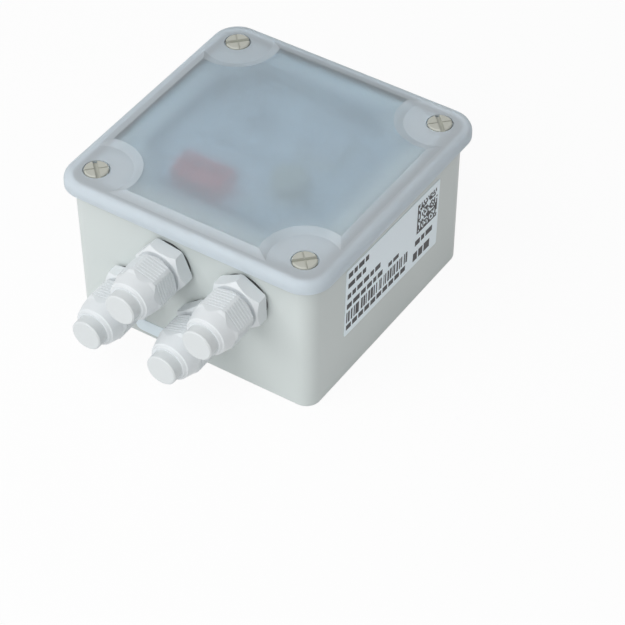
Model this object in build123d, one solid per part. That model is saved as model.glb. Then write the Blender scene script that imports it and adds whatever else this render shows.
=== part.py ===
from build123d import *
import math
import os

# Wireless pressure sensor in a square junction box: a drafted grey base, a frosted lid held by four
# quarter-turn screws, four plugged cable glands on the front, and a battery radio board inside.
# Millimetres, +Z up. The origin is on the underside, below the middle of the box.
# The glands are on the front (-Y), the large label is on the right (+X).

# Enclosure
side_bottom = 107.6          # outer width and depth of the base at its underside
draft_deg = 1.0              # the walls lean outwards towards the top
wall = 2.6
floor_thickness = 3.0
rim_height = 63.0            # top of the base wall, where the seal rests
corner_inset = 6.1           # radius of the base's upright corners at the underside
foot_round = 1.0
corner_centre = side_bottom / 2 - corner_inset

# Lid
lid_overhang = 5.2           # from the base's underside width to the lid's skirt, each side
lid_half = side_bottom / 2 + lid_overhang
skirt_drop = 1.0             # how far the skirt hangs below the rim
land_height = 4.6            # rim land above the base's rim
lid_skin = 2.2
lid_round = 3.6
pane_rise = 1.2
pane_border = 4.0            # from the lid's edge to the foot of the pane's bevel
pane_bevel = 3.7
pane_lobe = 14.0             # radius of the pane's notch round each screw
pane_rib_gap = 1.6
skirt_skin = 2.2
rib_thickness = 1.4
rib_clearance = 0.35
rib_depth = 1.4              # how far the locating rib reaches below the rim

# Lid seal
seal_overlap = 0.25          # how far the seal reaches past the wall on each side
seal_side_gap = 0.1

# Lid screws
screw_spacing = 93.6
screw_head_d = 9.6
screw_head_height = 1.8
screw_sink = 1.3             # counterbore depth below the land
screw_head_gap = 0.5
screw_neck_d = 7.0
screw_shank_d = 4.4
screw_turn_gap = 0.1
screw_wide_slot = 1.8
screw_thin_slot = 0.6
screw_slot_depth = 1.3
screw_thin_depth = 0.5
lug_length = 6.8
lug_width = 2.4
lug_height = 2.2
catch_thickness = 3.0
catch_gap = 0.3
catch_slot_gap = 0.2

# Screw towers in the base
tower_d = 12.4
tower_below_rim = 1.6
pocket_d = 8.4
pocket_height = 6.0
boss_d = 10.0

# Cable glands
gland_pitch = 17.2           # sideways step from one gland to the next, in a zigzag
gland_low = 24.0             # height of the lower row's axis
gland_row_gap = 22.0
thread_d = 16.0
thread_gap = 0.2
gland_bore_d = 10.4
body_hex = 20.0
body_hex_length = 6.2
body_tail = 9.0              # thread inside the box, from the inner wall
body_neck_length = 9.4       # outer thread for the cap nut
neck_d = 15.2
insert_seat_d = 12.4
insert_seat_depth = 6.0
wall_seal_d = 19.4
wall_seal_thickness = 1.2
lock_hex = 22.0
lock_thickness = 5.0
nut_hex = 18.6
nut_corner_d = 20.4
nut_gap = 1.7                # dark gap between the body's hexagon and the cap nut
nut_flat_length = 11.2
nut_shoulder_length = 5.6
nut_nose_d = 15.6
nut_nose_length = 1.2
nut_skin = 2.6
nose_opening_d = 11.2
nut_ring_count = 7
nut_ring_depth = 0.22
insert_bore_d = 7.3
insert_clearance = 0.1
plug_head_d = 12.9
plug_head_length = 4.7
plug_shank_d = 7.1
plug_shank_length = 13.0
plug_round = 0.5

# Circuit board and what it carries
board_level = 48.4           # underside of the board
board_thickness = 1.6
board_left_gap = 2.6         # from the inner wall
board_back_gap = 2.6
board_width = 82.0
board_depth = 72.0
board_front_chamfer = 7.0
tower_clearance = 0.8
post_d = 7.0
post_inset_left = 7.0
post_inset_right = 6.5
post_inset_front = 7.0
post_row = 46.0
board_screw_d = 2.6
board_hole_d = 3.2
board_screw_head_d = 5.6
board_screw_head = 2.0
board_screw_length = 9.0
board_screw_gap = 0.05

terminal_ways = 4
terminal_pitch = 5.08
terminal_end = 1.04
terminal_depth = 11.5
terminal_height = 9.0
terminal_left = 19.0         # from the board's left edge to the block
terminal_well_d = 3.6
terminal_screw_d = 3.2
terminal_mouth = 3.4
terminal_mouth_depth = 6.0

cell_d = 26.0
cell_length = 50.0
cell_nub_d = 9.0
cell_nub_length = 1.4
cell_gap = 0.4
holder_skin = 1.8
holder_pad = 2.0
contact_thickness = 0.5

module_side = 18.0
module_thickness = 0.8
shield_side = 15.6
shield_height = 2.4
aerial_length = 34.0
aerial_height = 7.0
aerial_sheet = 0.5
aerial_leg = 3.0
chip_side = 10.0
chip_height = 1.4
capacitor_d = 15.0
capacitor_height = 9.0
button_side = 6.0
button_height = 3.5
button_cap_d = 3.4
button_cap_height = 3.0
button_travel = 0.5
led_side = 3.0
led_height = 1.6

# Wall fixing holes in the floor
fixing_spacing = 76.0
fixing_hole_d = 4.6
fixing_collar_d = 9.0
fixing_collar_height = 2.0

# Labels
label_length = 66.0
label_height = 32.4
label_centre_y = 1.4
label_centre_z = 36.8
label_tilt_deg = -1.4
label_thickness = 0.2
label_round = 0.8
strip_length = 30.0
strip_height = 6.0
strip_centre_x = -12.0
strip_centre_z = 5.2

# Derived levels and half widths
slope = math.tan(math.radians(draft_deg))
land_z = rim_height + land_height
skirt_z = rim_height - skirt_drop
under_z = land_z - lid_skin
pane_z = land_z + pane_rise
tower_z = rim_height - tower_below_rim
seat_z = land_z - screw_sink
head_z = seat_z + screw_head_height
catch_z = tower_z - catch_thickness
lug_z = catch_z - catch_gap
board_top = board_level + board_thickness
screw_half = screw_spacing / 2
seal_height = under_z - rim_height


def outer_half(z):
    """Half width of the base's outside at height z."""
    return side_bottom / 2 + z * slope


def inner_half(z):
    """Half width of the base's inside at height z."""
    return outer_half(z) - wall


def square(half, z=0.0):
    """A square with the enclosure's common corner centres, so every wall is even round a corner."""
    return Pos(0, 0, z) * RectangleRounded(2 * half, 2 * half, half - corner_centre)


def slab(half, z_low, z_high):
    return extrude(square(half, z_low), z_high - z_low)


def tapered(half_low, half_high, z_low, z_high):
    return loft([square(half_low, z_low), square(half_high, z_high)], ruled=True)


def rod(diameter, low, high):
    return Pos(0, 0, low) * extrude(Circle(diameter / 2), high - low)


def ring(outer_d, inner_d, low, high):
    return Pos(0, 0, low) * extrude(Circle(outer_d / 2) - Circle(inner_d / 2), high - low)


def hexagon(across_flats, low, high):
    radius = across_flats / math.sqrt(3)
    return Pos(0, 0, low) * extrude(RegularPolygon(radius, 6), high - low)


def turned(points):
    """A solid of revolution about Z from (radius, height) points."""
    face = make_face(Polyline([(r, 0, z) for r, z in points], close=True))
    return revolve(face, Axis.Z)


def block(x_low, x_high, y_low, y_high, z_low, z_high):
    size = (x_high - x_low, y_high - y_low, z_high - z_low)
    middle = ((x_low + x_high) / 2, (y_low + y_high) / 2, (z_low + z_high) / 2)
    return Pos(*middle) * Box(*size)


corners = [(name, sx, sy) for name, sx, sy in (
    ("front_left", -1, -1),
    ("front_right", 1, -1),
    ("rear_left", -1, 1),
    ("rear_right", 1, 1),
)]


def screw_place(sx, sy):
    """Place of a lid screw, turned so that its wide slot lies across the box's diagonal."""
    turn = 45.0 if sx * sy < 0 else -45.0
    return Pos(sx * screw_half, sy * screw_half, 0) * Rot(0, 0, turn)


# Glands stand square to the drafted front wall. In a gland's own frame Z runs outwards from the
# wall's outer face, so a negative height is inside the wall or the box.
gland_names = ("a", "b", "c", "d")
gland_turns = {"a": 12.0, "b": -9.0, "c": -22.0, "d": 30.0}
nut_turns = {"a": 5.0, "b": -16.0, "c": 20.0, "d": 8.0}


def gland_axis(index):
    x = (index - (len(gland_names) - 1) / 2) * gland_pitch
    z = gland_low + gland_row_gap * (index % 2)
    return x, z


def gland_place(index, turn=0.0):
    x, z = gland_axis(index)
    return Pos(x, -outer_half(z), z) * Rot(90 + draft_deg, 0, 0) * Rot(0, 0, turn)


body_face = wall_seal_thickness + body_hex_length
neck_end = body_face + body_neck_length
nut_low = body_face + nut_gap
nut_shoulder = nut_low + nut_flat_length
nut_nose = nut_shoulder + nut_shoulder_length
nut_top = nut_nose + nut_nose_length


def make_base():
    body = tapered(outer_half(0), outer_half(rim_height), 0, rim_height)
    body = fillet(body.edges().group_by(Axis.Z)[0], foot_round)
    body -= tapered(inner_half(floor_thickness), inner_half(rim_height), floor_thickness, rim_height)
    for _, sx, sy in corners:
        place = Pos(sx * screw_half, sy * screw_half, 0)
        column = place * rod(tower_d, floor_thickness / 2, tower_z)
        body += column & tapered(outer_half(0) - wall / 2, outer_half(rim_height) - wall / 2, 0, rim_height)
    for _, sx, sy in corners:
        place = screw_place(sx, sy)
        slot = rod(screw_shank_d + 2 * catch_slot_gap, catch_z, tower_z)
        slot += Pos(0, 0, (catch_z + tower_z) / 2) * Box(
            lug_length + 2 * catch_slot_gap, lug_width + 2 * catch_slot_gap, catch_thickness)
        body -= place * slot
        body -= place * rod(pocket_d, catch_z - pocket_height, catch_z)
        window = block(-tower_d, 0, -pocket_d / 2, pocket_d / 2, catch_z - pocket_height, catch_z)
        aim = math.degrees(math.atan2(sy, sx))
        body -= Pos(sx * screw_half, sy * screw_half, 0) * Rot(0, 0, aim) * window
    for x, y in post_places():
        post = Pos(x, y, 0) * rod(post_d, floor_thickness / 2, board_level)
        body += post
        body -= Pos(x, y, 0) * rod(board_screw_d + 2 * board_screw_gap,
                                   board_level - board_screw_length - 1, board_level)
    for sx in (-1, 1):
        for sy in (-1, 1):
            place = Pos(sx * fixing_spacing / 2, sy * fixing_spacing / 2, 0)
            body += place * rod(fixing_collar_d, floor_thickness / 2, floor_thickness + fixing_collar_height)
            body -= place * rod(fixing_hole_d, 0, floor_thickness + fixing_collar_height)
    for index in range(len(gland_names)):
        body -= gland_place(index) * rod(thread_d + 2 * thread_gap, -wall - 1, 1)
    return body


def pane_outline(half, lobe, z):
    outline = RectangleRounded(2 * half, 2 * half, 1.0)
    for _, sx, sy in corners:
        outline -= Pos(sx * screw_half, sy * screw_half) * Circle(lobe)
    return Pos(0, 0, z) * outline


def make_lid():
    skirt_inner = lid_half - skirt_skin
    wall_top = outer_half(rim_height)
    seal_outer = wall_top + seal_overlap + seal_side_gap
    rib_outer = inner_half(rim_height) - rib_clearance
    body = slab(lid_half, skirt_z, land_z)
    body = fillet(body.edges().group_by(Axis.Z)[-1], lid_round)
    pane_low = lid_half - pane_border
    body += loft([
        pane_outline(pane_low, pane_lobe, land_z).face(),
        pane_outline(pane_low - pane_bevel, pane_lobe + pane_bevel, pane_z).face(),
    ], ruled=True)
    body -= slab(skirt_inner, skirt_z, rim_height + seal_side_gap)
    body -= slab(seal_outer, rim_height, under_z)
    rib = slab(rib_outer, rim_height - rib_depth, under_z)
    rib -= slab(rib_outer - rib_thickness, rim_height - rib_depth, under_z)
    body += rib
    hollow = rib_outer - rib_thickness - pane_rib_gap
    body -= extrude(pane_outline(hollow, pane_lobe + pane_rib_gap, under_z), pane_rise)
    for _, sx, sy in corners:
        place = Pos(sx * screw_half, sy * screw_half, 0)
        body += place * rod(boss_d, rim_height - rib_depth, seat_z)
        body -= place * rod(screw_head_d + 2 * screw_head_gap, seat_z, pane_z)
        body -= place * rod(screw_neck_d + 2 * screw_turn_gap, rim_height - rib_depth, seat_z)
    return body


def make_lid_seal():
    outer = outer_half(rim_height) + seal_overlap
    inner = inner_half(rim_height) - seal_overlap
    return slab(outer, rim_height, under_z) - slab(inner, rim_height, under_z)


def make_lid_screw(sx, sy):
    neck_low = rim_height - rib_depth
    body = rod(screw_head_d, seat_z, head_z)
    body = chamfer(body.edges().group_by(Axis.Z)[-1], 0.4)
    body += rod(screw_neck_d, neck_low, seat_z)
    body += rod(screw_shank_d, lug_z - lug_height, neck_low)
    lug = Pos(0, 0, lug_z - lug_height / 2) * Box(lug_length, lug_width, lug_height)
    body += lug & rod(lug_length, lug_z - lug_height, lug_z)
    body -= Pos(0, 0, head_z - screw_slot_depth / 2) * Box(
        screw_head_d + 1, screw_wide_slot, screw_slot_depth)
    body -= Pos(0, 0, head_z - screw_thin_depth / 2) * Box(
        screw_thin_slot, screw_head_d + 1, screw_thin_depth)
    return screw_place(sx, sy) * body


def make_gland_body(index, turn):
    body = rod(thread_d, -wall - body_tail, wall_seal_thickness)
    envelope_r = body_hex / math.sqrt(3)
    cone = turned([
        (0, wall_seal_thickness),
        (envelope_r - 0.4, wall_seal_thickness),
        (envelope_r, wall_seal_thickness + 0.4),
        (envelope_r, body_face - 1.6),
        (body_hex / 2 - 0.5, body_face),
        (0, body_face),
    ])
    body += hexagon(body_hex, wall_seal_thickness, body_face) & cone
    body += rod(neck_d, body_face, neck_end)
    body -= rod(gland_bore_d, -wall - body_tail, neck_end)
    body -= rod(insert_seat_d, neck_end - insert_seat_depth, neck_end)
    return gland_place(index, turn) * body


def make_gland_wall_seal(index):
    return gland_place(index) * ring(wall_seal_d, thread_d, 0, wall_seal_thickness)


def make_gland_lock_nut(index, turn):
    nut = hexagon(lock_hex, -wall - lock_thickness, -wall)
    nut -= rod(thread_d + 2 * board_screw_gap, -wall - lock_thickness, -wall)
    return gland_place(index, turn) * nut


def make_gland_cap_nut(index, turn):
    corner_r = nut_corner_d / 2
    nose_r = nut_nose_d / 2
    outside = turned([
        (0, nut_low),
        (nut_hex / 2, nut_low),
        (corner_r, nut_low + 0.8),
        (corner_r, nut_shoulder - 0.6),
        (nut_hex / 2 + 0.3, nut_shoulder + 0.6),
        (nose_r + 0.5, nut_nose),
        (nose_r, nut_nose + 0.3),
        (nose_r - 0.5, nut_top),
        (0, nut_top),
    ])
    body = outside & hexagon(nut_hex, nut_low, nut_top)
    step = nut_flat_length / (nut_ring_count + 1)
    for k in range(nut_ring_count):
        low = nut_low + (k + 1) * step - step / 4
        groove = ring(2 * nut_corner_d, 0.1, low, low + step / 2)
        groove -= hexagon(nut_hex - 2 * nut_ring_depth, low, low + step / 2)
        body -= groove & rod(2 * nut_corner_d, low, low + step / 2)
    inner_r = neck_d / 2 + insert_clearance
    body -= turned([
        (0, nut_low),
        (inner_r, nut_low),
        (inner_r, neck_end + 1.2),
        (nose_opening_d / 2, nut_top - nut_skin),
        (nose_opening_d / 2, nut_top),
        (0, nut_top),
    ])
    return gland_place(index, turn) * body


def make_gland_insert(index):
    seat_r = insert_seat_d / 2 - insert_clearance
    low = neck_end - insert_seat_depth + 0.3
    flange_r = neck_d / 2 - 0.4
    nose_r = nose_opening_d / 2
    top = nut_top - nut_skin
    body = turned([
        (insert_bore_d / 2, low),
        (seat_r, low),
        (seat_r, neck_end + 0.2),
        (flange_r, neck_end + 0.2),
        (flange_r, neck_end + 0.9),
        (nose_r, top - 0.4),
        (insert_bore_d / 2, top - 0.4),
    ])
    return gland_place(index) * body


def make_gland_plug(index):
    tip = nut_top - plug_shank_length
    r = plug_shank_d / 2
    head_r = plug_head_d / 2
    head_top = nut_top + plug_head_length
    body = turned([
        (0, tip),
        (r - 1.0, tip),
        (r, tip + 1.0),
        (r, nut_top),
        (head_r, nut_top),
        (head_r, head_top - plug_round),
        (head_r - plug_round, head_top),
        (0, head_top),
    ])
    return gland_place(index) * body


# The board lies towards the rear left, so its front leaves room for the cables.
board_x0 = -inner_half(board_level) + board_left_gap
board_x1 = board_x0 + board_width
board_y1 = inner_half(board_level) - board_back_gap
board_y0 = board_y1 - board_depth


def post_places():
    xs = (board_x0 + post_inset_left, board_x1 - post_inset_right)
    ys = (board_y0 + post_inset_front, board_y0 + post_inset_front + post_row)
    return [(x, y) for x in xs for y in ys]


def make_circuit_board():
    # The rear left corner is cut back so that it clears the screw tower.
    reach = (tower_d / 2 + tower_clearance) * math.sqrt(2)
    rear_cut = board_y1 - board_x0 - 2 * screw_half + reach
    outline = make_face(Polyline([
        (board_x0 + board_front_chamfer, board_y0),
        (board_x1, board_y0),
        (board_x1, board_y1),
        (board_x0 + rear_cut, board_y1),
        (board_x0, board_y1 - rear_cut),
        (board_x0, board_y0 + board_front_chamfer),
    ], close=True))
    body = Pos(0, 0, board_level) * extrude(outline, board_thickness)
    for x, y in post_places():
        body -= Pos(x, y, 0) * rod(board_hole_d, board_level, board_top)
    return body


def make_board_screws():
    screws = []
    for x, y in post_places():
        screw = rod(board_screw_head_d, board_top, board_top + board_screw_head)
        screw = fillet(screw.edges().group_by(Axis.Z)[-1], 0.8)
        screw += rod(board_screw_d, board_top - board_screw_length, board_top)
        screw -= Pos(0, 0, board_top + board_screw_head - 0.4) * Box(board_screw_head_d, 0.9, 0.8)
        screws.append(Pos(x, y, 0) * screw)
    return Compound(screws)


terminal_x0 = board_x0 + terminal_left
terminal_length = terminal_ways * terminal_pitch + 2 * terminal_end


def terminal_way_x(k):
    return terminal_x0 + terminal_end + (k + 0.5) * terminal_pitch


def make_terminal_block():
    y0 = board_y0
    y1 = board_y0 + terminal_depth
    x1 = terminal_x0 + terminal_length
    top = board_top + terminal_height
    body = block(terminal_x0, x1, y0, y1, board_top, top)
    body = chamfer(body.edges().filter_by(Axis.X).sort_by(Axis.Z)[-2:].sort_by(Axis.Y)[:1], 2.2)
    for k in range(terminal_ways):
        x = terminal_way_x(k)
        body -= block(x - terminal_mouth / 2, x + terminal_mouth / 2, y0, y0 + terminal_mouth_depth,
                      board_top + 1.2, board_top + 1.2 + terminal_mouth)
        well = rod(terminal_well_d, top - 3.6, top)
        body -= Pos(x, (y0 + y1) / 2 + 1.2, 0) * well
    return body


def make_terminal_screws():
    screws = []
    top = board_top + terminal_height
    for k in range(terminal_ways):
        screw = rod(terminal_screw_d, top - 3.6, top - 1.2)
        screw -= Pos(0, 0, top - 1.6) * Box(terminal_screw_d, 0.8, 0.8)
        place = Pos(terminal_way_x(k), board_y0 + terminal_depth / 2 + 1.2, 0) * Rot(0, 0, 20 + 35 * k)
        screws.append(place * screw)
    return Compound(screws)


cell_x = (board_x0 + board_x1) / 2
cell_y = board_y0 + post_inset_front + post_row / 2
cell_z = board_level - holder_pad - cell_gap - cell_d / 2
holder_half = cell_length / 2 + cell_nub_length + contact_thickness + 0.6


def along_x(shape, x):
    """Lay a shape that was made along Z down along X, starting at x on the cell's axis."""
    return Pos(x, cell_y, cell_z) * Rot(0, 90, 0) * shape


def make_battery_cell():
    body = rod(cell_d, 0, cell_length)
    body = fillet(body.edges(), 1.2)
    body += rod(cell_nub_d, cell_length - 0.1, cell_length + cell_nub_length)
    return along_x(body, cell_x - cell_length / 2)


def make_battery_holder():
    inner_r = cell_d / 2 + cell_gap
    outer_r = inner_r + holder_skin
    length = 2 * (holder_half + holder_skin)
    cradle = along_x(rod(2 * outer_r, 0, length), cell_x - length / 2)
    pad = block(cell_x - length / 2, cell_x + length / 2, cell_y - outer_r, cell_y + outer_r,
                cell_z, board_level)
    body = cradle + pad
    body -= along_x(rod(2 * inner_r, 0, 2 * holder_half), cell_x - holder_half)
    body -= block(cell_x - length, cell_x + length, cell_y - 2 * outer_r, cell_y + 2 * outer_r,
                  cell_z - 2 * outer_r, cell_z - inner_r / 2)
    body -= block(cell_x - length, cell_x + length, cell_y - 2 * outer_r, cell_y + 2 * outer_r,
                  board_level, board_level + outer_r)
    finger = cell_length / 3
    body -= block(cell_x - finger / 2, cell_x + finger / 2, cell_y - 2 * outer_r, cell_y + 2 * outer_r,
                  cell_z - 2 * outer_r, cell_z + inner_r / 3)
    return body


def make_battery_contacts():
    plates = []
    for side in (-1, 1):
        x_wall = cell_x + side * holder_half
        x_face = x_wall - side * contact_thickness
        plates.append(block(min(x_wall, x_face), max(x_wall, x_face), cell_y - 4, cell_y + 4,
                            cell_z - 5, cell_z + 9))
    return Compound(plates)


module_x = board_x1 - 24.0
module_y = board_y1 - 24.0


def make_radio_module():
    half = module_side / 2
    return block(module_x - half, module_x + half, module_y - half, module_y + half,
                 board_top, board_top + module_thickness)


def make_radio_shield():
    half = shield_side / 2
    low = board_top + module_thickness
    can = block(module_x - half, module_x + half, module_y - half, module_y + half,
                low, low + shield_height)
    can = fillet(can.edges().group_by(Axis.Z)[-1], 0.5)
    return can


def make_aerial():
    # A stamped strip on two legs, standing along the board's rear edge.
    y = board_y1 - 5.0
    x1 = board_x1 - 4.0
    x0 = x1 - aerial_length
    top = board_top + aerial_height
    body = block(x0, x1, y, y + 4.0, top - aerial_sheet, top)
    for x in (x1 - aerial_leg, x1 - 3 * aerial_leg):
        body += block(x, x + aerial_leg / 2, y, y + aerial_sheet, board_top, top - aerial_sheet / 2)
    return body


def make_controller_chip():
    x = board_x0 + 26.0
    y = board_y1 - 22.0
    body = block(x - chip_side / 2, x + chip_side / 2, y - chip_side / 2, y + chip_side / 2,
                 board_top, board_top + chip_height)
    return chamfer(body.edges().group_by(Axis.Z)[-1], 0.3)


def make_small_parts():
    parts = []
    x = board_x0 + 16.0
    y = board_y1 - 44.0
    for k in range(6):
        parts.append(block(x + 4.5 * k, x + 4.5 * k + 2.0, y, y + 1.25, board_top, board_top + 0.7))
        parts.append(block(x + 4.5 * k, x + 4.5 * k + 3.2, y + 4.0, y + 5.6, board_top, board_top + 0.9))
    return Compound(parts)


def make_buffer_capacitor():
    x = board_x0 + 60.0
    y = board_y0 + 20.0
    body = rod(capacitor_d, board_top, board_top + capacitor_height)
    body = fillet(body.edges().group_by(Axis.Z)[-1], 1.0)
    return Pos(x, y, 0) * body


button_x = board_x0 + 72.5
button_y = board_y0 + 18.0


def make_mode_button_body():
    half = button_side / 2
    body = block(button_x - half, button_x + half, button_y - half, button_y + half,
                 board_top, board_top + button_height)
    bore = rod(button_cap_d + 0.2, board_top + button_height - 1.4, board_top + button_height)
    return body - Pos(button_x, button_y, 0) * bore


def make_mode_button_cap():
    low = board_top + button_height - 1.4 + button_travel + 0.1
    cap = rod(button_cap_d, low, low + button_cap_height)
    cap = fillet(cap.edges().group_by(Axis.Z)[-1], 0.3)
    return Pos(button_x, button_y, 0) * cap


def make_status_led():
    x = board_x0 + 50.0
    y = board_y0 + 6.0
    half = led_side / 2
    body = block(x - half, x + half, y - half, y + half, board_top, board_top + led_height * 0.6)
    return body + Pos(x, y, 0) * rod(led_side * 0.8, board_top, board_top + led_height)


def make_side_label():
    face = RectangleRounded(label_length, label_height, label_round)
    face_x = outer_half(label_centre_z)
    place = Pos(face_x, label_centre_y, label_centre_z) * Rot(0, 90 + draft_deg, 0) * Rot(0, 0, 90)
    return place * Rot(0, 0, label_tilt_deg) * extrude(face, label_thickness)


def make_port_label():
    face = RectangleRounded(strip_length, strip_height, strip_height / 2 - 0.01)
    place = Pos(strip_centre_x, -outer_half(strip_centre_z), strip_centre_z) * Rot(90 + draft_deg, 0, 0)
    return place * extrude(face, label_thickness)


def make_parts():
    parts = {
        "enclosure_base": make_base(),
        "lid": make_lid(),
        "lid_seal": make_lid_seal(),
        "circuit_board": make_circuit_board(),
        "board_screws": make_board_screws(),
        "terminal_block": make_terminal_block(),
        "terminal_screws": make_terminal_screws(),
        "battery_cell": make_battery_cell(),
        "battery_holder": make_battery_holder(),
        "battery_contacts": make_battery_contacts(),
        "radio_module": make_radio_module(),
        "radio_shield": make_radio_shield(),
        "aerial": make_aerial(),
        "controller_chip": make_controller_chip(),
        "small_parts": make_small_parts(),
        "buffer_capacitor": make_buffer_capacitor(),
        "mode_button_body": make_mode_button_body(),
        "mode_button_cap": make_mode_button_cap(),
        "status_led": make_status_led(),
        "side_label": make_side_label(),
        "port_label": make_port_label(),
    }
    for name, sx, sy in corners:
        parts["lid_screw_" + name] = make_lid_screw(sx, sy)
    for index, name in enumerate(gland_names):
        prefix = "gland_" + name
        parts[prefix + "_body"] = make_gland_body(index, gland_turns[name])
        parts[prefix + "_wall_seal"] = make_gland_wall_seal(index)
        parts[prefix + "_lock_nut"] = make_gland_lock_nut(index, gland_turns[name] + 17)
        parts[prefix + "_insert"] = make_gland_insert(index)
        parts[prefix + "_cap_nut"] = make_gland_cap_nut(index, nut_turns[name])
        parts[prefix + "_plug"] = make_gland_plug(index)
    return parts


os.makedirs("parts", exist_ok=True)
for node, shape in make_parts().items():
    export_step(shape, f"parts/{node}.step")
print(f"front axis height {gland_low}, lid half {lid_half:.2f}, pane {pane_z:.2f}, head {head_z:.2f}")
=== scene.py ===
# %% [markdown]
# A wireless pressure sensor lives in a square junction box: a light grey moulded base, a frosted lid
# that shows the electronics as soft shapes, four white cable glands with plugs, and a battery radio
# board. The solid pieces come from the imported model. This file gives every one of them its finish and
# adds what is too fine for the solids, such as print, pads, legs and a spring. Lengths are in metres.

# %% Load the solid pieces
import bmesh
import bpy
import math
from mathutils import Matrix, Vector


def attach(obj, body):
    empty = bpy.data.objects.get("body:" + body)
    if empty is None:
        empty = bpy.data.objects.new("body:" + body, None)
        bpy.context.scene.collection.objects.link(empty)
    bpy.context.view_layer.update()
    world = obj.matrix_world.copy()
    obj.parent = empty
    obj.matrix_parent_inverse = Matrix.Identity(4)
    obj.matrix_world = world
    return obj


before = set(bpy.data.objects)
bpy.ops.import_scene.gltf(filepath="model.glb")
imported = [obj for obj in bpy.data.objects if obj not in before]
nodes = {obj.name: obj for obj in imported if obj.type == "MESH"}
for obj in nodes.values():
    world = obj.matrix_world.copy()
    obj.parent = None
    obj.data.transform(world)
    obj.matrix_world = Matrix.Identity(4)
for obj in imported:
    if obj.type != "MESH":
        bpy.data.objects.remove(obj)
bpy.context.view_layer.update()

scene = bpy.context.scene
scene.view_settings.view_transform = "Standard"

# %% [markdown]
# The camera is set first, because everything else is judged through it. A product photo like this one
# is taken from well back with a long lens, so that parallel edges stay nearly parallel. The place is
# given as a compass angle, a height angle and a distance, which are easier to adjust than coordinates.

# %% Camera
CAMERA_AZIMUTH = math.radians(33.48)
CAMERA_ELEVATION = math.radians(43.02)
CAMERA_ROLL = math.radians(-0.27)
CAMERA_DISTANCE = 1.0439
CAMERA_LENS = 155.0
CAMERA_RIGHT = 0.01588
CAMERA_UP = -0.03557
AIM_HEIGHT = 0.030


def camera_axes():
    """Right, up and backward directions of the camera."""
    sin_a, cos_a = math.sin(CAMERA_AZIMUTH), math.cos(CAMERA_AZIMUTH)
    sin_e, cos_e = math.sin(CAMERA_ELEVATION), math.cos(CAMERA_ELEVATION)
    back = Vector((sin_a * cos_e, -cos_a * cos_e, sin_e))
    right = Vector((cos_a, sin_a, 0))
    up = back.cross(right)
    rolled_right = math.cos(CAMERA_ROLL) * right + math.sin(CAMERA_ROLL) * up
    rolled_up = math.cos(CAMERA_ROLL) * up - math.sin(CAMERA_ROLL) * right
    place = back * CAMERA_DISTANCE + right * CAMERA_RIGHT + up * CAMERA_UP + Vector((0, 0, AIM_HEIGHT))
    return rolled_right, rolled_up, back, place


camera_data = bpy.data.cameras.new("camera")
camera_data.lens = CAMERA_LENS
camera_data.sensor_width = 36.0
camera_data.clip_start = 0.05
camera = bpy.data.objects.new("camera", camera_data)
scene.collection.objects.link(camera)
right, up, back, place = camera_axes()
turn = Matrix((right, up, back)).transposed().to_4x4()
camera.matrix_world = Matrix.Translation(place) @ turn
scene.camera = camera
print("camera at", [round(v, 3) for v in place])

# %% [markdown]
# Node materials are built in code, so a few short helpers save much repetition: one adds a node, one
# links two sockets, and one makes a node group with named inputs and outputs.

# %% Helpers for node trees
def add_node(tree, kind, **values):
    """Add a node. Names that match an input set that input, and others set a property."""
    node = tree.nodes.new(kind)
    for name, value in values.items():
        key = name.replace("_", " ").title()
        if key in node.inputs:
            node.inputs[key].default_value = value
        else:
            setattr(node, name, value)
    return node


def link(tree, source, target):
    tree.links.new(source, target)


def new_group(name, inputs, outputs):
    """A shader node group with float or colour sockets. Returns the tree, its input and output nodes."""
    tree = bpy.data.node_groups.new(name, "ShaderNodeTree")
    for socket_name, kind, value in inputs:
        socket = tree.interface.new_socket(name=socket_name, in_out="INPUT", socket_type=kind)
        socket.default_value = value
    for socket_name, kind in outputs:
        tree.interface.new_socket(name=socket_name, in_out="OUTPUT", socket_type=kind)
    return tree, tree.nodes.new("NodeGroupInput"), tree.nodes.new("NodeGroupOutput")


FLOAT = "NodeSocketFloat"
COLOUR = "NodeSocketColor"


def maths(tree, operation, first, second=None, third=None, clamp=False):
    """A Math node whose inputs are sockets or plain numbers. Returns its output."""
    node = tree.nodes.new("ShaderNodeMath")
    node.operation = operation
    node.use_clamp = clamp
    for index, value in enumerate((first, second, third)):
        if value is None:
            continue
        if isinstance(value, (int, float)):
            node.inputs[index].default_value = value
        else:
            link(tree, value, node.inputs[index])
    return node.outputs[0]


def mix_colours(tree, factor, first, second):
    """Blend two colours, each a socket or an (r, g, b) value, by a mask socket. Returns the output."""
    node = tree.nodes.new("ShaderNodeMix")
    node.data_type = "RGBA"
    by_name = {socket.identifier: socket for socket in node.inputs}
    link(tree, factor, by_name["Factor_Float"])
    for key, value in (("A_Color", first), ("B_Color", second)):
        if isinstance(value, tuple):
            by_name[key].default_value = (*value, 1.0)
        else:
            link(tree, value, by_name[key])
    return next(socket for socket in node.outputs if socket.identifier == "Result_Color")


def remap(tree, value, low, high, new_low, new_high):
    node = tree.nodes.new("ShaderNodeMapRange")
    link(tree, value, node.inputs["Value"])
    for key, number in (("From Min", low), ("From Max", high), ("To Min", new_low), ("To Max", new_high)):
        if isinstance(number, (int, float)):
            node.inputs[key].default_value = number
        else:
            link(tree, number, node.inputs[key])
    return node.outputs["Result"]
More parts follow.
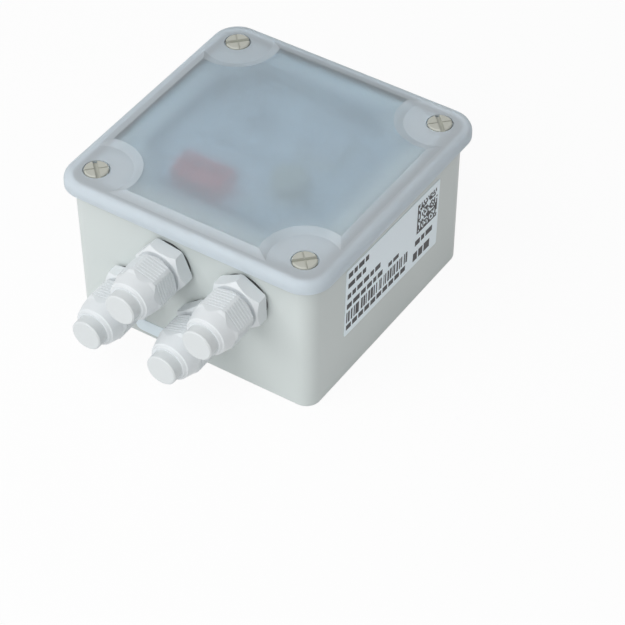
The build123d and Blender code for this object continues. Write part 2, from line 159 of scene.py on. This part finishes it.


# %% [markdown]
# Moulded plastic is never perfectly even. Its tool is spark-eroded, which leaves a fine grain, and the
# melt flows in broad clouds of slightly different tone. The group below makes both from noise in object
# space, so the pattern stays on a piece when it moves.

# %% Node group: moulded skin
def make_moulded_skin():
    tree, given, result = new_group(
        "moulded_skin",
        [("Grain Size", FLOAT, 0.0006), ("Cloud Size", FLOAT, 0.03), ("Cloud Amount", FLOAT, 0.04),
         ("Color", COLOUR, (0.8, 0.8, 0.8, 1.0))],
        [("Color", COLOUR), ("Roughness Shift", FLOAT), ("Height", FLOAT)],
    )
    place_node = add_node(tree, "ShaderNodeTexCoord")
    grain = add_node(tree, "ShaderNodeTexNoise", detail=2.0, roughness=0.55)
    cloud = add_node(tree, "ShaderNodeTexNoise", detail=3.0, roughness=0.5)
    for noise, size in ((grain, "Grain Size"), (cloud, "Cloud Size")):
        link(tree, place_node.outputs["Object"], noise.inputs["Vector"])
        link(tree, maths(tree, "DIVIDE", 1.0, given.outputs[size]), noise.inputs["Scale"])
    spread = maths(tree, "SUBTRACT", cloud.outputs["Fac"], 0.5)
    change = maths(tree, "MULTIPLY", spread, given.outputs["Cloud Amount"])
    gain = maths(tree, "ADD", change, 1.0)
    tint = add_node(tree, "ShaderNodeVectorMath", operation="SCALE")
    link(tree, given.outputs["Color"], tint.inputs[0])
    link(tree, gain, tint.inputs["Scale"])
    link(tree, tint.outputs[0], result.inputs["Color"])
    link(tree, maths(tree, "MULTIPLY", spread, 0.25), result.inputs["Roughness Shift"])
    link(tree, grain.outputs["Fac"], result.inputs["Height"])
    return tree


moulded_skin = make_moulded_skin()
print("group", moulded_skin.name)

# %% [markdown]
# Every plastic on the unit is the same kind of finish with other values, so one function makes them
# all: the skin group drives colour, roughness and bump, and the shader keeps the plain numbers.

# %% Plastic materials
def new_material(name):
    material = bpy.data.materials.new(name)
    material.use_nodes = True
    tree = material.node_tree
    tree.nodes.clear()
    shader = tree.nodes.new("ShaderNodeBsdfPrincipled")
    output = tree.nodes.new("ShaderNodeOutputMaterial")
    link(tree, shader.outputs["BSDF"], output.inputs["Surface"])
    return material, tree, shader


def use_group(tree, group, **values):
    node = tree.nodes.new("ShaderNodeGroup")
    node.node_tree = group
    for name, value in values.items():
        node.inputs[name.replace("_", " ").title()].default_value = value
    return node


def bump(tree, height, shader, depth, strength=1.0):
    node = add_node(tree, "ShaderNodeBump", strength=strength, distance=depth)
    link(tree, height, node.inputs["Height"])
    link(tree, node.outputs["Normal"], shader.inputs["Normal"])
    return node


def moulded_plastic(name, colour, roughness, grain_size=0.0006, grain_depth=0.00001, cloud=0.05,
                    cloud_size=0.03, ior=1.5):
    material, tree, shader = new_material(name)
    skin = use_group(tree, moulded_skin, grain_size=grain_size, cloud_size=cloud_size, cloud_amount=cloud,
                     color=(*colour, 1.0))
    link(tree, skin.outputs["Color"], shader.inputs["Base Color"])
    shift = maths(tree, "ADD", skin.outputs["Roughness Shift"], roughness)
    link(tree, shift, shader.inputs["Roughness"])
    shader.inputs["IOR"].default_value = ior
    bump(tree, skin.outputs["Height"], shader, grain_depth)
    return material


base_plastic = moulded_plastic("base_plastic", (0.615, 0.665, 0.655), 0.42)
gland_nylon = moulded_plastic("gland_nylon", (0.73, 0.765, 0.785), 0.40, grain_size=0.0004)
plug_plastic = moulded_plastic("plug_plastic", (0.68, 0.715, 0.725), 0.48, grain_size=0.0004)
screw_plastic = moulded_plastic("screw_plastic", (0.50, 0.51, 0.455), 0.42, grain_size=0.0004)
seal_foam = moulded_plastic("seal_foam", (0.86, 0.90, 0.94), 0.85, grain_size=0.0005, grain_depth=0.00004)
# The gland wall seals are real rings. Their near-black colour is painted shade along the line where each gland
# body meets the wall.
seal_rubber_and_painted_shade = moulded_plastic("seal_rubber_and_painted_shade", (0.05, 0.05, 0.055), 0.7, grain_size=0.0004)
insert_rubber = moulded_plastic("insert_rubber", (0.035, 0.035, 0.038), 0.65, grain_size=0.0004)
terminal_plastic = moulded_plastic("terminal_plastic", (0.86, 0.035, 0.030), 0.38)
chip_epoxy = moulded_plastic("chip_epoxy", (0.46, 0.49, 0.51), 0.55, grain_size=0.0002)
capacitor_sleeve = moulded_plastic("capacitor_sleeve", (0.62, 0.58, 0.45), 0.45)
cell_wrap = moulded_plastic("cell_wrap", (0.34, 0.50, 0.47), 0.28, cloud=0.1)
led_epoxy = moulded_plastic("led_epoxy", (0.75, 0.80, 0.60), 0.2)

# %% [markdown]
# The lid is frosted polycarbonate. Light goes through it but is scattered on the way, so what lies just
# under it is seen and what lies deep is a soft blur. Rough transmission gives that blur, and the part
# that isn't transmitted is the milky haze of the plastic itself.

# %% Frosted lid
def smooth_step(tree, value, low, high, new_low, new_high):
    """A soft change from one number to another while the value goes from low to high."""
    node = tree.nodes.new("ShaderNodeMapRange")
    node.interpolation_type = "SMOOTHSTEP"
    link(tree, value, node.inputs["Value"])
    for key, number in (("From Min", low), ("From Max", high), ("To Min", new_low), ("To Max", new_high)):
        if isinstance(number, (int, float)):
            node.inputs[key].default_value = number
        else:
            link(tree, number, node.inputs[key])
    return node.outputs["Result"]


def make_rim_painted_light():
    """A mask of painted light and painted shade: 1 over the pale wall, seal and screw bosses below the lid's
    edge, 0 over the middle, and cut down to the far share on the far side as painted shade.
    """
    tree, given, result = new_group(
        "rim_painted_light",
        [("Start", FLOAT, 0.041), ("End", FLOAT, 0.049), ("Screw Place", FLOAT, 0.0468),
         ("Boss Reach", FLOAT, 0.018), ("Far Share", FLOAT, 0.35)],
        [("Mask", FLOAT)],
    )
    place_node = add_node(tree, "ShaderNodeTexCoord")
    apart = tree.nodes.new("ShaderNodeSeparateXYZ")
    link(tree, place_node.outputs["Object"], apart.inputs[0])
    across = maths(tree, "ABSOLUTE", apart.outputs["X"])
    along = maths(tree, "ABSOLUTE", apart.outputs["Y"])
    reach = maths(tree, "SMOOTH_MAX", across, along, 0.004)
    edge = smooth_step(tree, reach, given.outputs["Start"], given.outputs["End"], 0.0, 1.0)
    offset_x = maths(tree, "SUBTRACT", across, given.outputs["Screw Place"])
    offset_y = maths(tree, "SUBTRACT", along, given.outputs["Screw Place"])
    squares = maths(tree, "ADD", maths(tree, "MULTIPLY", offset_x, offset_x),
                    maths(tree, "MULTIPLY", offset_y, offset_y))
    distance = maths(tree, "SQRT", squares)
    boss = smooth_step(tree, distance, 0.009, given.outputs["Boss Reach"], 1.0, 0.0)
    # Painted shade: on the far side, away from the camera, the mask keeps only the far share.
    facing = maths(tree, "SUBTRACT", apart.outputs["X"], apart.outputs["Y"])
    near = smooth_step(tree, facing, -0.055, 0.005, given.outputs["Far Share"], 1.0)
    link(tree, maths(tree, "MULTIPLY", maths(tree, "MAXIMUM", edge, boss), near), result.inputs["Mask"])
    return tree


rim_painted_light = make_rim_painted_light()


def make_frosted_lid(name, deep, lit, clear_haze, lit_haze, far_share):
    """Lid plastic: a deep colour and a lit colour that is painted light, mixed by the painted light mask with
    painted shade on the far side, and how much the light is scattered in either place.
    """
    material, tree, shader = new_material(name)
    glow = use_group(tree, rim_painted_light, start=0.038, end=0.050, boss_reach=0.026, far_share=far_share)
    # Painted light: the colour turns to the lit colour over the wall and screw bosses, and back towards the
    # deep colour on the far side as painted shade.
    body = mix_colours(tree, glow.outputs["Mask"], deep, lit)
    skin = use_group(tree, moulded_skin, grain_size=0.0005, cloud_size=0.02, cloud_amount=0.05)
    link(tree, body, skin.inputs["Color"])
    link(tree, skin.outputs["Color"], shader.inputs["Base Color"])
    haze = remap(tree, glow.outputs["Mask"], 0.0, 0.5, clear_haze, lit_haze)
    link(tree, haze, shader.inputs["Roughness"])
    shader.inputs["IOR"].default_value = 1.36
    bump(tree, skin.outputs["Height"], shader, 0.00001)
    return material, shader


# Both lid finishes paint light and shade into their colour: the lit colour is painted light over the rim and
# bosses, and the far side is painted shade.
frosted_lid, lid_shader = make_frosted_lid(
    "frosted_lid", (0.68, 0.79, 0.87), (0.87, 0.96, 1.0), 0.31, 0.90, 0.60)
lid_shader.inputs["Transmission Weight"].default_value = 0.74
frosted_rim, rim_shader = make_frosted_lid(
    "frosted_rim", (0.58, 0.67, 0.73), (0.74, 0.81, 0.86), 0.55, 0.55, 0.60)
rim_shader.inputs["Transmission Weight"].default_value = 0.40
print("lid finishes", frosted_lid.name, frosted_rim.name)

# %% [markdown]
# Metal parts are small and plated. A stretched noise gives them the fine lines of rolling or turning,
# in roughness and bump.

# %% Metal materials
def plated_metal(name, colour, roughness):
    material, tree, shader = new_material(name)
    shader.inputs["Metallic"].default_value = 1.0
    place_node = add_node(tree, "ShaderNodeTexCoord")
    stretch = add_node(tree, "ShaderNodeMapping")
    stretch.inputs["Scale"].default_value = (1.0, 12.0, 12.0)
    link(tree, place_node.outputs["Object"], stretch.inputs["Vector"])
    lines = add_node(tree, "ShaderNodeTexNoise", scale=900.0, detail=2.0)
    link(tree, stretch.outputs["Vector"], lines.inputs["Vector"])
    skin = use_group(tree, moulded_skin, grain_size=0.0004, cloud_size=0.006, cloud_amount=0.12,
                     color=(*colour, 1.0))
    link(tree, skin.outputs["Color"], shader.inputs["Base Color"])
    link(tree, remap(tree, lines.outputs["Fac"], 0.3, 0.7, roughness - 0.08, roughness + 0.1),
         shader.inputs["Roughness"])
    bump(tree, lines.outputs["Fac"], shader, 0.000006)
    return material


tin_plate = plated_metal("tin_plate", (0.72, 0.73, 0.74), 0.3)
steel = plated_metal("steel", (0.60, 0.61, 0.62), 0.35)

# %% [markdown]
# The circuit board is glass laminate under a white solder mask. Its copper tracks lie under the mask and
# show as slightly raised, slightly darker lines. A brick pattern with long thin bricks stands for them.

# %% Circuit board material
def make_board_mask():
    material, tree, shader = new_material("board_mask")
    place_node = add_node(tree, "ShaderNodeTexCoord")
    tracks = add_node(tree, "ShaderNodeTexBrick", scale=260.0)
    tracks.inputs["Mortar Size"].default_value = 0.03
    tracks.inputs["Brick Width"].default_value = 2.6
    tracks.inputs["Row Height"].default_value = 0.32
    tracks.inputs["Color1"].default_value = (0.78, 0.82, 0.84, 1.0)
    tracks.inputs["Color2"].default_value = (0.76, 0.80, 0.82, 1.0)
    tracks.inputs["Mortar"].default_value = (0.68, 0.73, 0.76, 1.0)
    link(tree, place_node.outputs["Object"], tracks.inputs["Vector"])
    skin = use_group(tree, moulded_skin, grain_size=0.0003, cloud_size=0.01, cloud_amount=0.2)
    link(tree, tracks.outputs["Color"], skin.inputs["Color"])
    link(tree, skin.outputs["Color"], shader.inputs["Base Color"])
    link(tree, maths(tree, "ADD", skin.outputs["Roughness Shift"], 0.3), shader.inputs["Roughness"])
    bump(tree, tracks.outputs["Fac"], shader, 0.00003)
    return material


board_mask = make_board_mask()

# %% Label stock
def make_label_stock():
    """White film label: even, slightly glossy, with the faint waviness of a hand-laid sticker."""
    material, tree, shader = new_material("label_stock")
    skin = use_group(tree, moulded_skin, grain_size=0.0012, cloud_size=0.02, cloud_amount=0.03,
                     color=(0.84, 0.94, 1.0, 1.0))
    link(tree, skin.outputs["Color"], shader.inputs["Base Color"])
    link(tree, maths(tree, "ADD", skin.outputs["Roughness Shift"], 0.35), shader.inputs["Roughness"])
    bump(tree, skin.outputs["Height"], shader, 0.00001)
    return material


label_stock = make_label_stock()
label_ink = moulded_plastic("label_ink", (0.020, 0.020, 0.024), 0.5, grain_size=0.0003, cloud=0.3)

# %% [markdown]
# Each solid piece now gets its finish by name. A prefix is enough where a set of pieces shares one.

# %% Give every solid its finish
finishes = {
    "enclosure_base": base_plastic,
    "lid": frosted_lid,
    "lid_seal": seal_foam,
    "lid_screw": screw_plastic,
    "circuit_board": board_mask,
    "board_screws": steel,
    "terminal_block": terminal_plastic,
    "terminal_screws": steel,
    "battery_cell": cell_wrap,
    "battery_holder": plug_plastic,
    "battery_contacts": tin_plate,
    "radio_module": board_mask,
    "radio_shield": tin_plate,
    "aerial": tin_plate,
    "controller_chip": chip_epoxy,
    "small_parts": chip_epoxy,
    "buffer_capacitor": capacitor_sleeve,
    "mode_button_body": base_plastic,
    "mode_button_cap": plug_plastic,
    "status_led": led_epoxy,
    "side_label": label_stock,
    "port_label": label_stock,
}
for gland in "abcd":
    finishes[f"gland_{gland}_body"] = gland_nylon
    finishes[f"gland_{gland}_cap_nut"] = gland_nylon
    finishes[f"gland_{gland}_lock_nut"] = gland_nylon
    finishes[f"gland_{gland}_plug"] = plug_plastic
    finishes[f"gland_{gland}_wall_seal"] = seal_rubber_and_painted_shade
    finishes[f"gland_{gland}_insert"] = insert_rubber


def finish_for(name):
    """The finish with the longest name that the node's name starts with."""
    matches = [key for key in finishes if name.startswith(key)]
    return finishes[max(matches, key=len)]


for name, piece in nodes.items():
    for slot in piece.material_slots:
        slot.material = finish_for(name)
print(len(nodes), "solids finished")

# %% [markdown]
# Below its edge the lid is thick and stands on the seal and the wall, so hardly any light comes back
# through it and only the milky plastic shows. The lid's faces outside the raised pane therefore take
# the denser finish. The two finishes share one mask of painted light and painted shade, which keeps the change
# between them soft.

# %% Denser finish for the lid's rim
PANE_EDGE = 0.0514
PANE_NOTCH = 0.0176
SCREW_PLACE = 0.0468


def on_rim(centre):
    """True for a face outside the flat of the pane or inside one of its notches."""
    across, along = abs(centre.x), abs(centre.y)
    notch = math.hypot(across - SCREW_PLACE, along - SCREW_PLACE)
    return max(across, along) > PANE_EDGE or notch < PANE_NOTCH


lid = nodes["lid"]
lid.data.materials.append(frosted_rim)
rim_faces = 0
for polygon in lid.data.polygons:
    if on_rim(lid.matrix_world @ polygon.center):
        polygon.material_index = len(lid.data.materials) - 1
        rim_faces += 1
print("rim faces", rim_faces, "of", len(lid.data.polygons))

# %% [markdown]
# The fine pieces follow. They are made as small meshes, each from plain lists of boxes, strips or
# profiles, and each rides on the body of the part that carries it. Their places come from the solid
# pieces' own boxes, so nothing is placed by eye.

# %% Helpers for fine pieces
MM = 0.001
WALL_LEAN = math.radians(1.0)


def box_of(name):
    """Lowest and highest corner of a solid piece."""
    corners = [nodes[name].matrix_world @ Vector(corner) for corner in nodes[name].bound_box]
    low = Vector([min(corner[k] for corner in corners) for k in range(3)])
    high = Vector([max(corner[k] for corner in corners) for k in range(3)])
    return low, high


def piece_from(mesh_builder, name, material, body, bevel=0.0):
    """Turn a filled bmesh into an object with a finish and a body to ride on."""
    bmesh.ops.recalc_face_normals(mesh_builder, faces=mesh_builder.faces)
    mesh = bpy.data.meshes.new(name)
    mesh_builder.to_mesh(mesh)
    mesh_builder.free()
    mesh.materials.append(material)
    piece = bpy.data.objects.new(name, mesh)
    scene.collection.objects.link(piece)
    if bevel:
        rounding = piece.modifiers.new("edges", "BEVEL")
        rounding.width = bevel
        rounding.segments = 2
    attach(piece, body)
    return piece


def add_box(mesh_builder, low, high, place=None):
    """A box between two corners, in the frame of a place matrix."""
    size = Vector(high) - Vector(low)
    middle = (Vector(high) + Vector(low)) / 2
    own = Matrix.Translation(middle) @ Matrix.Diagonal((*size, 1.0))
    bmesh.ops.create_cube(mesh_builder, size=1.0, matrix=(place @ own) if place else own)


def add_prism(mesh_builder, outline, depth, place):
    """An outline of (x, z) points, carried along y by a depth, in the frame of a place matrix."""
    near = [mesh_builder.verts.new(place @ Vector((x, 0, z))) for x, z in outline]
    far = [mesh_builder.verts.new(place @ Vector((x, depth, z))) for x, z in outline]
    mesh_builder.faces.new(near)
    mesh_builder.faces.new(list(reversed(far)))
    for k in range(len(outline)):
        after = (k + 1) % len(outline)
        mesh_builder.faces.new((near[k], far[k], far[after], near[after]))


print("helpers ready")

# %% [markdown]
# The labels carry no wording. Each line of print is a row of plain dark blocks, the bar pattern is a row
# of bars in mixed widths and the square code is a field of small squares. A label's own frame has its
# origin at the top left corner, u to the right and v downwards, both in millimetres.

# %% Label print
def label_frame(name, normal, along, turn_deg, width, height):
    """The frame of a label's top left corner, with z standing off its face."""
    low, high = box_of(name)
    middle = (low + high) / 2
    sideways = Matrix.Rotation(math.radians(turn_deg), 3, normal) @ along
    upwards = normal.cross(sideways)
    corner = middle - sideways * width * MM / 2 + upwards * height * MM / 2
    basis = Matrix((sideways, upwards, normal)).transposed().to_4x4()
    return Matrix.Translation(corner) @ basis


def print_on(name, place, rectangles, lift, thickness=0.03):
    """Ink as thin slabs from (u low, u high, v low, v high) in millimetres."""
    ink = bmesh.new()
    for u_low, u_high, v_low, v_high in rectangles:
        add_box(ink, (u_low * MM, -v_high * MM, lift * MM), (u_high * MM, -v_low * MM, (lift + thickness) * MM),
                place)
    return piece_from(ink, name, label_ink, "base")


def line_of_print(u_low, u_high, v_low, v_high, words):
    """A row of blocks with the given shares of its length, parted by narrow gaps."""
    total = sum(words)
    gap = 0.9
    free = u_high - u_low - gap * (len(words) - 1)
    blocks = []
    start = u_low
    for share in words:
        end = start + free * share / total
        blocks.append((start, end, v_low, v_high))
        start = end + gap
    return blocks


LABEL_WIDTH, LABEL_HEIGHT, LABEL_TURN = 66.0, 32.4, -1.4
side_normal = Vector((math.cos(WALL_LEAN), 0, -math.sin(WALL_LEAN)))
side_place = label_frame("side_label", side_normal, Vector((0, 1, 0)), LABEL_TURN, LABEL_WIDTH, LABEL_HEIGHT)
lines = []
lines += line_of_print(1.4, 15.3, 1.8, 4.3, (4, 3, 5, 3))
lines += line_of_print(1.4, 13.6, 6.9, 9.3, (4, 3, 2))
lines += line_of_print(1.2, 24.0, 12.2, 14.6, (2, 2, 3, 3, 2, 3))
lines += line_of_print(1.0, 25.8, 17.0, 19.4, (3, 4, 3, 3, 2, 3))
lines += line_of_print(30.0, 37.4, 17.2, 19.2, (2, 3))
lines += line_of_print(1.0, 42.8, 27.4, 29.8, (2, 2, 2, 2, 2, 2, 2, 2, 2, 2))
lines += line_of_print(49.5, 62.0, 20.2, 22.8, (3, 2, 4))
lines += line_of_print(48.5, 60.5, 26.0, 30.0, (3, 3, 4))
print_on("side_label_lines", side_place, lines, 0.1)

bar_starts = (0.9, 2.1, 4.1, 6.0, 7.3, 11.1, 12.8, 14.5, 16.2, 17.9, 20.0, 21.7, 23.8, 24.7, 27.0, 28.1,
              29.8, 31.5, 33.4, 34.4, 36.3, 38.2, 39.5, 41.6, 42.9)
bar_widths = (0.7, 1.1, 1.0, 0.8, 2.3, 1.2, 1.2, 0.6, 1.2, 1.6, 0.8, 0.7, 0.5, 0.9, 0.5, 0.8,
              1.1, 1.2, 0.6, 0.9, 1.1, 0.8, 0.8, 0.8, 1.1)
bars = [(start, start + width, 21.0, 26.2) for start, width in zip(bar_starts, bar_widths)]
print_on("side_label_bars", side_place, bars, 0.1)

CODE_CELLS, CODE_SIDE = 18, 14.4
cell = CODE_SIDE / CODE_CELLS
squares = []
for row in range(CODE_CELLS):
    for column in range(CODE_CELLS):
        framed = column == 0 or row == CODE_CELLS - 1
        if framed or (row * 7 + column * 5 + (row * column) % 7) % 11 < 6:
            u, v = 50.2 + column * cell, 2.8 + row * cell
            squares.append((u, u + cell, v, v + cell))
print_on("side_label_code", side_place, squares, 0.1)

STRIP_LENGTH, STRIP_HEIGHT = 30.0, 6.0
front_normal = Vector((0, -math.cos(WALL_LEAN), -math.sin(WALL_LEAN)))
front_place = label_frame("port_label", front_normal, Vector((1, 0, 0)), 0.0, STRIP_LENGTH, STRIP_HEIGHT)
print_on("port_label_marks", front_place, line_of_print(17.0, 21.5, 1.9, 4.3, (1, 1)), 0.1)
print("print blocks", len(lines) + len(bars) + len(squares))

# %% [markdown]
# The board's parts get what a bare solid leaves out: bent legs on the controller chip, tinned ends on
# the small parts, edge pads on the radio module, clamps in the terminal block and a coil spring at the
# battery's flat end. Legs are one bent strip each, repeated round the chip by turning it in quarters.

# %% Chip legs and tinned ends
board_low, board_high = box_of("circuit_board")
board_top = board_high.z


def quarter_turn(middle, quarter):
    """The frame of one side of a square part that stands on the board."""
    return (Matrix.Translation((middle.x, middle.y, board_top))
            @ Matrix.Rotation(quarter * math.pi / 2, 4, "Z"))


def add_chip_legs():
    low, high = box_of("controller_chip")
    middle = (low + high) / 2
    half = (high.x - low.x) / 2
    leg = [(0, 0.75), (0.35, 0.75), (0.55, 0.18), (1.05, 0.18),
           (1.05, 0.03), (0.42, 0.03), (0.24, 0.60), (0, 0.60)]
    legs = bmesh.new()
    count, pitch, width = 12, 0.75, 0.32
    for quarter in range(4):
        turn = quarter_turn(middle, quarter)
        for k in range(count):
            offset = (k - (count - 1) / 2) * pitch * MM - width * MM / 2
            place = turn @ Matrix.Translation((half, offset, 0))
            add_prism(legs, [(x * MM, z * MM) for x, z in leg], width * MM, place)
    return piece_from(legs, "chip_legs", tin_plate, "base")


def add_small_part_ends():
    low, high = box_of("small_parts")
    ends = bmesh.new()
    pitch = 4.5
    for k in range(6):
        x = low.x + k * pitch * MM
        for length, width, height, back in ((2.0, 1.25, 0.7, 0.0), (3.2, 1.6, 0.9, 4.0)):
            y = low.y + back * MM
            for start in (-0.02, length - 0.38):
                add_box(ends, (x + start * MM, y - 0.02 * MM, board_top),
                        (x + (start + 0.4) * MM, y + (width + 0.02) * MM, board_top + (height + 0.02) * MM))
                add_box(ends, (x + (start - 0.3) * MM, y - 0.1 * MM, board_top),
                        (x + (start + 0.7) * MM, y + (width + 0.1) * MM, board_top + 0.06 * MM))
    return piece_from(ends, "small_part_ends", tin_plate, "base", bevel=0.00003)


add_chip_legs()
add_small_part_ends()
print("board top", round(board_top, 5))

# %% Module pads, vias and outlines on the board
def add_module_pads():
    low, high = box_of("radio_module")
    pads = bmesh.new()
    count, pitch = 11, 1.5
    middle = (low + high) / 2
    half = (high.x - low.x) / 2
    for quarter in range(4):
        turn = quarter_turn(middle, quarter)
        for k in range(count):
            y = (k - (count - 1) / 2) * pitch * MM
            add_box(pads, (half - 0.05 * MM, y - 0.4 * MM, 0), (half + 0.7 * MM, y + 0.4 * MM, 0.06 * MM), turn)
            add_box(pads, (half - 0.6 * MM, y - 0.4 * MM, 0.78 * MM),
                    (half + 0.03 * MM, y + 0.4 * MM, 0.84 * MM), turn)
    return piece_from(pads, "module_pads", gold_flash, "base")


def add_round_pads():
    """Test pads in a row by the right edge, and vias in short rows."""
    pads = bmesh.new()
    rows = [(board_high.x - 4.5 * MM, board_low.y + (26 + 3.2 * k) * MM, 0.8) for k in range(6)]
    rows += [(board_low.x + (36 + 2.2 * k) * MM, board_high.y - 31 * MM, 0.35) for k in range(7)]
    rows += [(board_low.x + (14 + 2.4 * k) * MM, board_low.y + 22 * MM, 0.35) for k in range(9)]
    rows += [(board_low.x + 15 * MM, board_high.y - (18 + 2.3 * k) * MM, 0.35) for k in range(6)]
    for x, y, radius in rows:
        place = Matrix.Translation((x, y, board_top + 0.02 * MM))
        bmesh.ops.create_cone(pads, cap_ends=True, segments=20, radius1=radius * MM, radius2=radius * MM,
                              depth=0.04 * MM, matrix=place)
    return piece_from(pads, "round_pads", gold_flash, "base")


def add_outlines():
    """Printed outlines round the larger parts."""
    ink = bmesh.new()
    line, rise, space = 0.2 * MM, 0.03 * MM, 0.8 * MM
    for name, grow in (("controller_chip", 1.3 * MM), ("mode_button_body", space), ("status_led", space)):
        low, high = box_of(name)
        x0, x1, y0, y1 = low.x - grow, high.x + grow, low.y - grow, high.y + grow
        for a, b in (((x0, y0), (x1, y0 + line)), ((x0, y1 - line), (x1, y1)), ((x0, y0), (x0 + line, y1)),
                     ((x1 - line, y0), (x1, y1))):
            add_box(ink, (*a, board_top), (*b, board_top + rise))
    return piece_from(ink, "board_outlines", label_ink, "base")


gold_flash = plated_metal("gold_flash", (0.78, 0.60, 0.28), 0.28)
add_module_pads()
add_round_pads()
add_outlines()
print("pads and outlines added")

# %% Terminal clamps and battery spring
def add_terminal_clamps():
    low, high = box_of("terminal_block")
    clamps = bmesh.new()
    pitch, end = 5.08, 1.04
    for k in range(4):
        x = low.x + (end + (k + 0.5) * pitch) * MM
        z = board_top + 1.2 * MM
        y = low.y + 1.2 * MM
        add_box(clamps, (x - 1.55 * MM, y, z), (x + 1.55 * MM, y + 4.6 * MM, z + 0.5 * MM))
        add_box(clamps, (x - 1.55 * MM, y, z + 2.7 * MM), (x + 1.55 * MM, y + 4.6 * MM, z + 3.3 * MM))
    return piece_from(clamps, "terminal_clamps", tin_plate, "base", bevel=0.00008)


def add_battery_spring():
    """A conical coil swept by a small circle, from the contact plate to the cell's flat end."""
    contact_low = box_of("battery_contacts")[0]
    cell_low, cell_high = box_of("battery_cell")
    middle = (cell_low + cell_high) / 2
    start = contact_low.x + 0.55 * MM
    wire = 0.25 * MM
    length = cell_low.x - start - 2 * wire
    turns, steps, sides = 3.0, 40, 8
    coil = bmesh.new()
    rings = []
    for k in range(int(turns * steps) + 1):
        share = k / (turns * steps)
        angle = 2 * math.pi * turns * share
        radius = (5.2 - 2.2 * share) * MM
        centre = Vector((start + wire + length * share, middle.y + radius * math.cos(angle),
                         middle.z + radius * math.sin(angle)))
        outwards = Vector((0, math.cos(angle), math.sin(angle)))
        sideways = Vector((1, 0, 0))
        rings.append([coil.verts.new(centre + wire * (outwards * math.cos(a) + sideways * math.sin(a)))
                      for a in (2 * math.pi * j / sides for j in range(sides))])
    for first, second in zip(rings, rings[1:]):
        for j in range(sides):
            after = (j + 1) % sides
            coil.faces.new((first[j], first[after], second[after], second[j]))
    coil.faces.new(rings[0])
    coil.faces.new(list(reversed(rings[-1])))
    return piece_from(coil, "battery_spring", steel, "base")


add_terminal_clamps()
add_battery_spring()
print("clamps and spring added")

# %% [markdown]
# The ground is a wide white floor. Seen by the camera it is mostly plain white light, so the page stays
# white, and the rest is a real surface that keeps the object's soft shadow. The world is dimmer for
# lighting than it looks to the camera.

# %% Floor and world
def background_mask(tree):
    """1 for rays that come from the camera, a reflection or through glass, and 0 for lighting rays."""
    path = tree.nodes.new("ShaderNodeLightPath")
    seen = maths(tree, "MAXIMUM", path.outputs["Is Camera Ray"], path.outputs["Is Glossy Ray"])
    return maths(tree, "MAXIMUM", seen, path.outputs["Is Transmission Ray"])


FLOOR_HALF = 3.0
FLOOR_PAPER_SHARE = 0.93
WORLD_LIGHT = 0.39


def make_floor():
    mesh = bpy.data.meshes.new("floor")
    half = FLOOR_HALF
    mesh.from_pydata([(-half, -half, 0), (half, -half, 0), (half, half, 0), (-half, half, 0)],
                     [], [(0, 1, 2, 3)])
    floor = bpy.data.objects.new("floor", mesh)
    scene.collection.objects.link(floor)
    material = bpy.data.materials.new("floor_paper")
    material.use_nodes = True
    tree = material.node_tree
    tree.nodes.clear()
    diffuse = add_node(tree, "ShaderNodeBsdfDiffuse", color=(0.9, 0.9, 0.9, 1.0))
    glow = add_node(tree, "ShaderNodeEmission", color=(1, 1, 1, 1), strength=1.0)
    mix = tree.nodes.new("ShaderNodeMixShader")
    link(tree, maths(tree, "MULTIPLY", background_mask(tree), FLOOR_PAPER_SHARE), mix.inputs["Fac"])
    link(tree, diffuse.outputs[0], mix.inputs[1])
    link(tree, glow.outputs[0], mix.inputs[2])
    output = tree.nodes.new("ShaderNodeOutputMaterial")
    link(tree, mix.outputs[0], output.inputs["Surface"])
    mesh.materials.append(material)
    return floor


def make_world(lighting):
    world = bpy.data.worlds.new("studio")
    scene.world = world
    world.use_nodes = True
    tree = world.node_tree
    tree.nodes.clear()
    glow = add_node(tree, "ShaderNodeBackground", color=(1, 1, 1, 1))
    seen = background_mask(tree)
    link(tree, remap(tree, seen, 0.0, 1.0, lighting, 1.0), glow.inputs["Strength"])
    output = tree.nodes.new("ShaderNodeOutputWorld")
    link(tree, glow.outputs[0], output.inputs["Surface"])


floor = make_floor()
make_world(WORLD_LIGHT)

# %% [markdown]
# One large soft lamp at the front, a little to the left, gives the direction that the photo shows: the
# gland wall is bright and the label wall is darker. Its power is worked out so that a surface square to
# it gets a named share of the light at which a colour renders as written.

# %% Lamp
KEY_DIRECTION = (-0.18, -0.88, 0.86)
KEY_DISTANCE = 1.3
KEY_SIZE = 1.7
KEY_SHARE = 0.88


def soft_lamp(name, direction, distance, size, share):
    """An area lamp at a distance along a direction from the object, giving a share of full light."""
    data = bpy.data.lights.new(name, "AREA")
    data.shape = "DISK"
    data.size = size
    data.energy = share * math.pi ** 2 * distance ** 2
    lamp = bpy.data.objects.new(name, data)
    scene.collection.objects.link(lamp)
    aim = Vector((0, 0, AIM_HEIGHT))
    way = Vector(direction).normalized()
    lamp.location = aim + way * distance
    lamp.rotation_euler = way.to_track_quat("Z", "Y").to_euler()
    print("lamp", name, round(data.energy, 1), "W")
    return lamp


soft_lamp("key", KEY_DIRECTION, KEY_DISTANCE, KEY_SIZE, KEY_SHARE)
